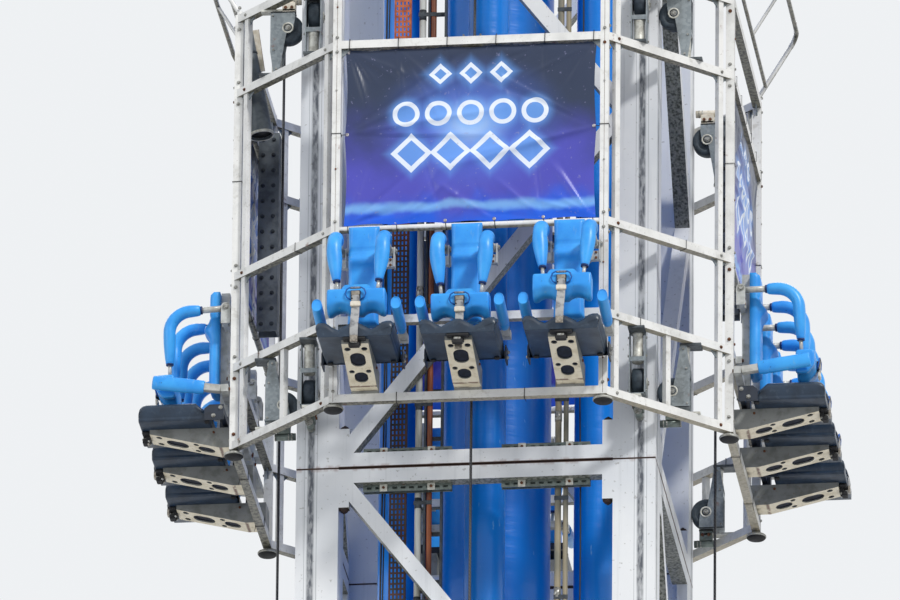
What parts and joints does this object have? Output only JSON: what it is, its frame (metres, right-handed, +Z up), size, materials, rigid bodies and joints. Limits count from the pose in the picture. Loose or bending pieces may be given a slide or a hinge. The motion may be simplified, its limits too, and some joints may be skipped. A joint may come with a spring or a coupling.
{
  "type": "drop tower ride",
  "caption": "Braced square steel tower with a ring carriage of outward-facing seats, lap harnesses, guide rollers and hoist cables.",
  "frame": {"origin": "centre of the tower at ground level, in the underside of the leg base plates", "axes": "+Z up, -Y towards the front side of the tower, +X to the right"},
  "size_m": [4.0492, 4.0492, 15.058],
  "materials": {
    "tower_white": "satin",
    "tower_blue": "satin",
    "galvanised": "satin",
    "cable": "satin",
    "rusty_tray": "matte",
    "pipe": "satin",
    "carriage_white": "satin",
    "dark_steel": "satin",
    "cream": "satin",
    "slate": "satin",
    "azure": "satin",
    "rubber": "matte",
    "vinyl": "satin"
  },
  "bodies": {
    "tower": {"tower_legs": "tower_white", "bracing_front": "tower_white", "bracing_right": "tower_white", "bracing_rear": "tower_white", "bracing_left": "tower_white", "splice_stubs": "tower_white", "base_plates": "galvanised", "head_deck": "galvanised", "air_receiver": "tower_blue", "launch_cylinders": "tower_blue", "sheaves": "dark_steel", "sheave_brackets": "galvanised", "hoist_cables": "cable", "cable_bends": "cable", "strut_channels": "galvanised", "cable_tray": "rusty_tray", "cable_ladder": "dark_steel", "service_pipes": "pipe"},
    "carriage": {"carriage_front": "carriage_white", "carriage_right": "carriage_white", "carriage_rear": "carriage_white", "carriage_left": "carriage_white", "corner_front_right": "carriage_white", "corner_rear_right": "carriage_white", "corner_rear_left": "carriage_white", "corner_front_left": "carriage_white", "roller_forks": "galvanised", "cable_columns": "dark_steel", "guard_hoops": "carriage_white", "tapered_tube": "dark_steel", "bumpers": "rubber", "banner_front": "vinyl", "banner_right": "vinyl", "banner_rear": "vinyl", "banner_left": "vinyl", "seat_arms": "cream", "seat_pans": "slate", "seat_frames": "dark_steel", "back_pads": "azure", "armrests": "azure"},
    "rollers_front_lower": {"rollers_front_lower": "rubber"},
    "rollers_front_upper": {"rollers_front_upper": "rubber"},
    "rollers_right_lower": {"rollers_right_lower": "rubber"},
    "rollers_right_upper": {"rollers_right_upper": "rubber"},
    "rollers_rear_lower": {"rollers_rear_lower": "rubber"},
    "rollers_rear_upper": {"rollers_rear_upper": "rubber"},
    "rollers_left_lower": {"rollers_left_lower": "rubber"},
    "rollers_left_upper": {"rollers_left_upper": "rubber"},
    "harness_front_1": {"harness_front_1": "azure"},
    "harness_front_2": {"harness_front_2": "azure"},
    "harness_front_3": {"harness_front_3": "azure"},
    "harness_right_1": {"harness_right_1": "azure"},
    "harness_right_2": {"harness_right_2": "azure"},
    "harness_right_3": {"harness_right_3": "azure"},
    "harness_rear_1": {"harness_rear_1": "azure"},
    "harness_rear_2": {"harness_rear_2": "azure"},
    "harness_rear_3": {"harness_rear_3": "azure"},
    "harness_left_1": {"harness_left_1": "azure"},
    "harness_left_2": {"harness_left_2": "azure"},
    "harness_left_3": {"harness_left_3": "azure"}
  },
  "joints": [
    {"name": "carriage_slide", "type": "slide", "parent": "tower", "child": "carriage", "axis": [0, 0, 1], "range_m": [-5, 4.9]},
    {"name": "rollers_front_lower_spin", "type": "hinge", "parent": "carriage", "child": "rollers_front_lower", "pos_m": [0, -1.1453, 5.76], "axis": [1, 0, 0], "continuous": true},
    {"name": "rollers_front_upper_spin", "type": "hinge", "parent": "carriage", "child": "rollers_front_upper", "pos_m": [0, -1.1453, 8.16], "axis": [1, 0, 0], "continuous": true},
    {"name": "rollers_right_lower_spin", "type": "hinge", "parent": "carriage", "child": "rollers_right_lower", "pos_m": [1.1453, 0, 5.76], "axis": [0, 1, 0], "continuous": true},
    {"name": "rollers_right_upper_spin", "type": "hinge", "parent": "carriage", "child": "rollers_right_upper", "pos_m": [1.1453, 0, 8.16], "axis": [0, 1, 0], "continuous": true},
    {"name": "rollers_rear_lower_spin", "type": "hinge", "parent": "carriage", "child": "rollers_rear_lower", "pos_m": [0, 1.1453, 5.76], "axis": [-1, 0, 0], "continuous": true},
    {"name": "rollers_rear_upper_spin", "type": "hinge", "parent": "carriage", "child": "rollers_rear_upper", "pos_m": [0, 1.1453, 8.16], "axis": [-1, 0, 0], "continuous": true},
    {"name": "rollers_left_lower_spin", "type": "hinge", "parent": "carriage", "child": "rollers_left_lower", "pos_m": [-1.1453, 0, 5.76], "axis": [0, -1, 0], "continuous": true},
    {"name": "rollers_left_upper_spin", "type": "hinge", "parent": "carriage", "child": "rollers_left_upper", "pos_m": [-1.1453, 0, 8.16], "axis": [0, -1, 0], "continuous": true},
    {"name": "harness_front_1_lift", "type": "hinge", "parent": "carriage", "child": "harness_front_1", "pos_m": [-0.603, -1.523, 6.493], "axis": [-1, 0, 0], "range_deg": [0, 75]},
    {"name": "harness_front_2_lift", "type": "hinge", "parent": "carriage", "child": "harness_front_2", "pos_m": [0, -1.523, 6.493], "axis": [-1, 0, 0], "range_deg": [0, 75]},
    {"name": "harness_front_3_lift", "type": "hinge", "parent": "carriage", "child": "harness_front_3", "pos_m": [0.603, -1.523, 6.493], "axis": [-1, 0, 0], "range_deg": [0, 75]},
    {"name": "harness_right_1_lift", "type": "hinge", "parent": "carriage", "child": "harness_right_1", "pos_m": [1.523, -0.603, 6.493], "axis": [0, -1, 0], "range_deg": [0, 75]},
    {"name": "harness_right_2_lift", "type": "hinge", "parent": "carriage", "child": "harness_right_2", "pos_m": [1.523, 0, 6.493], "axis": [0, -1, 0], "range_deg": [0, 75]},
    {"name": "harness_right_3_lift", "type": "hinge", "parent": "carriage", "child": "harness_right_3", "pos_m": [1.523, 0.603, 6.493], "axis": [0, -1, 0], "range_deg": [0, 75]},
    {"name": "harness_rear_1_lift", "type": "hinge", "parent": "carriage", "child": "harness_rear_1", "pos_m": [0.603, 1.523, 6.493], "axis": [1, 0, 0], "range_deg": [0, 75]},
    {"name": "harness_rear_2_lift", "type": "hinge", "parent": "carriage", "child": "harness_rear_2", "pos_m": [0, 1.523, 6.493], "axis": [1, 0, 0], "range_deg": [0, 75]},
    {"name": "harness_rear_3_lift", "type": "hinge", "parent": "carriage", "child": "harness_rear_3", "pos_m": [-0.603, 1.523, 6.493], "axis": [1, 0, 0], "range_deg": [0, 75]},
    {"name": "harness_left_1_lift", "type": "hinge", "parent": "carriage", "child": "harness_left_1", "pos_m": [-1.523, 0.603, 6.493], "axis": [0, 1, 0], "range_deg": [0, 75]},
    {"name": "harness_left_2_lift", "type": "hinge", "parent": "carriage", "child": "harness_left_2", "pos_m": [-1.523, 0, 6.493], "axis": [0, 1, 0], "range_deg": [0, 75]},
    {"name": "harness_left_3_lift", "type": "hinge", "parent": "carriage", "child": "harness_left_3", "pos_m": [-1.523, -0.603, 6.493], "axis": [0, 1, 0], "range_deg": [0, 75]}
  ]
}
